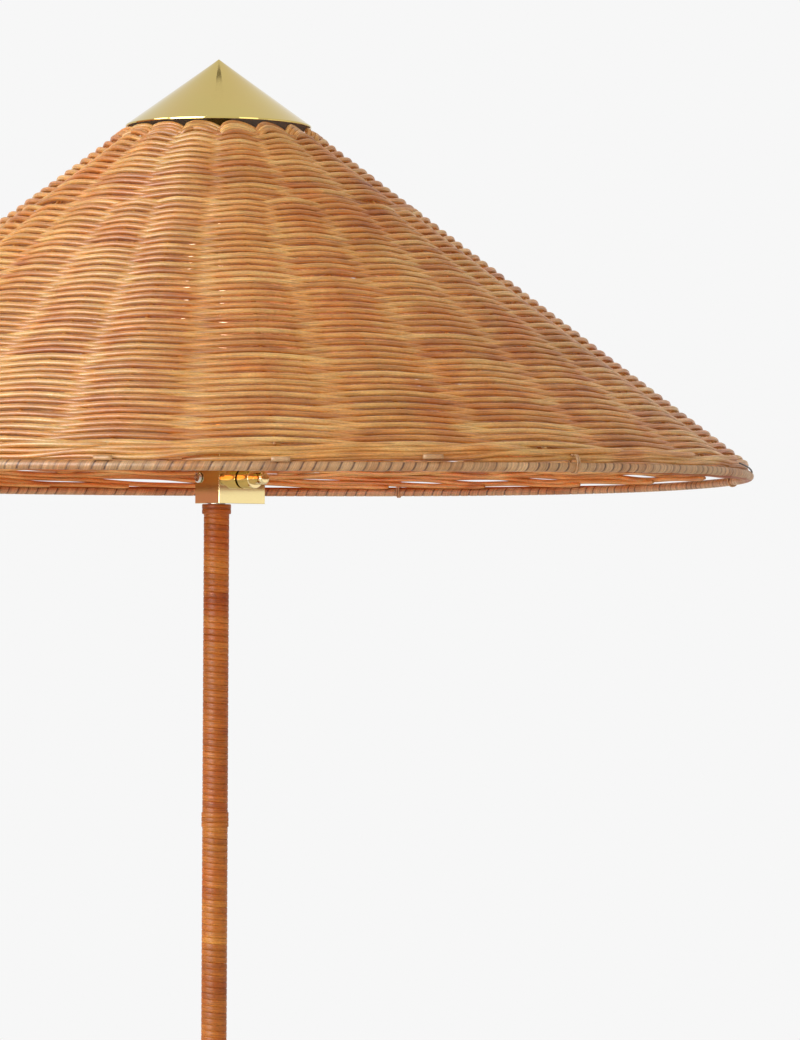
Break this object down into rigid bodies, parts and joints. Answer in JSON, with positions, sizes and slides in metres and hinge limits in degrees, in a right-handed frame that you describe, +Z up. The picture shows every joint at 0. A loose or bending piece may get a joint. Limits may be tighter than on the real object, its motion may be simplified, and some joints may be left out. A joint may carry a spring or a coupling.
{
  "type": "floor lamp",
  "caption": "Floor lamp with a wide cone shade of woven rattan under a brass cone cap, a thin cane-wrapped stem, a brass switch housing with a side knob, and a round brass foot.",
  "frame": {"origin": "on the floor, on the axis of the stem, at the middle of the foot's underside", "axes": "+Z up along the stem; -Y towards the viewer of the picture, +X to the viewer's right"},
  "size_m": [0.6, 0.6, 1.53],
  "materials": {
    "brass": "mirror polished, lacquered",
    "steel": "zinc plated",
    "nickel": "nickel plated, polished",
    "iron": "as cast, painted black",
    "felt": "pressed wool felt",
    "rubber": "moulded",
    "stem_cane": "split cane, satin varnish",
    "shade_rattan": "round rattan core, woven, matt",
    "rim_cane": "split cane, matt",
    "switch_moulding": "moulded phenolic",
    "porcelain": "glazed",
    "opal_glass": "opal"
  },
  "bodies": {
    "stand": {"stem_tube": "steel", "base_washer": "steel", "base_nut": "steel", "holder_nipple": "steel", "holder_screw_shell": "steel", "harp_stud": "steel", "harp_stud_nut": "steel", "switch_ring_nut": "steel", "housing_end_screw": "nickel", "lid_screw_1": "nickel", "lid_screw_2": "nickel", "base_felt_pad": "felt", "base_weight": "iron", "base_cover": "brass", "base_collar": "brass", "switch_housing": "brass", "housing_lid": "brass", "harp_saddle": "brass", "holder_cup": "brass", "holder_shell": "brass", "holder_contact": "brass", "harp": "brass", "harp_ferrule_1": "brass", "harp_ferrule_2": "brass", "base_cord_inlet": "rubber", "stem_wrap_1": "stem_cane", "stem_wrap_2": "stem_cane", "stem_wrap_3": "stem_cane", "stem_wrap_4": "stem_cane", "stem_wrap_5": "stem_cane", "stem_wrap_6": "stem_cane", "stem_wrap_7": "stem_cane", "stem_splice_1": "stem_cane", "stem_splice_2": "stem_cane", "stem_splice_3": "stem_cane", "stem_splice_4": "stem_cane", "stem_splice_5": "stem_cane", "stem_splice_6": "stem_cane", "stem_top_band": "stem_cane", "stem_wrap_top_turns": "stem_cane", "switch_body": "switch_moulding", "holder_insulator": "porcelain"},
    "knob": {"switch_knob": "brass", "switch_shaft": "steel"},
    "bulb": {"bulb_cap": "steel", "bulb_glass": "opal_glass"},
    "shade": {"shade_weave": "shade_rattan", "shade_top_ring": "steel", "shade_spider": "steel", "rim_hoop": "rim_cane", "rim_binding": "rim_cane", "rim_lashing_1": "rim_cane", "rim_lashing_2": "rim_cane", "rim_lashing_3": "rim_cane", "rim_lashing_4": "rim_cane", "rim_lashing_5": "rim_cane", "rim_lashing_6": "rim_cane"},
    "cap": {"top_cap": "brass", "cap_boss": "brass"}
  },
  "joints": [
    {"name": "knob_turn", "type": "hinge", "parent": "stand", "child": "knob", "pos_m": [0.01487, -0.00123, 1.2947], "axis": [0.6428, -0.766, 0], "range_deg": [-300, 0]},
    {"name": "bulb_turn", "type": "hinge", "parent": "stand", "child": "bulb", "pos_m": [0, 0, 1.35], "axis": [0, 0, 1], "continuous": true},
    {"name": "shade_turn", "type": "hinge", "parent": "stand", "child": "shade", "pos_m": [0, 0, 1.479], "axis": [0, 0, 1], "continuous": true},
    {"name": "cap_turn", "type": "hinge", "parent": "stand", "child": "cap", "pos_m": [0, 0, 1.5], "axis": [0, 0, 1], "continuous": true}
  ]
}
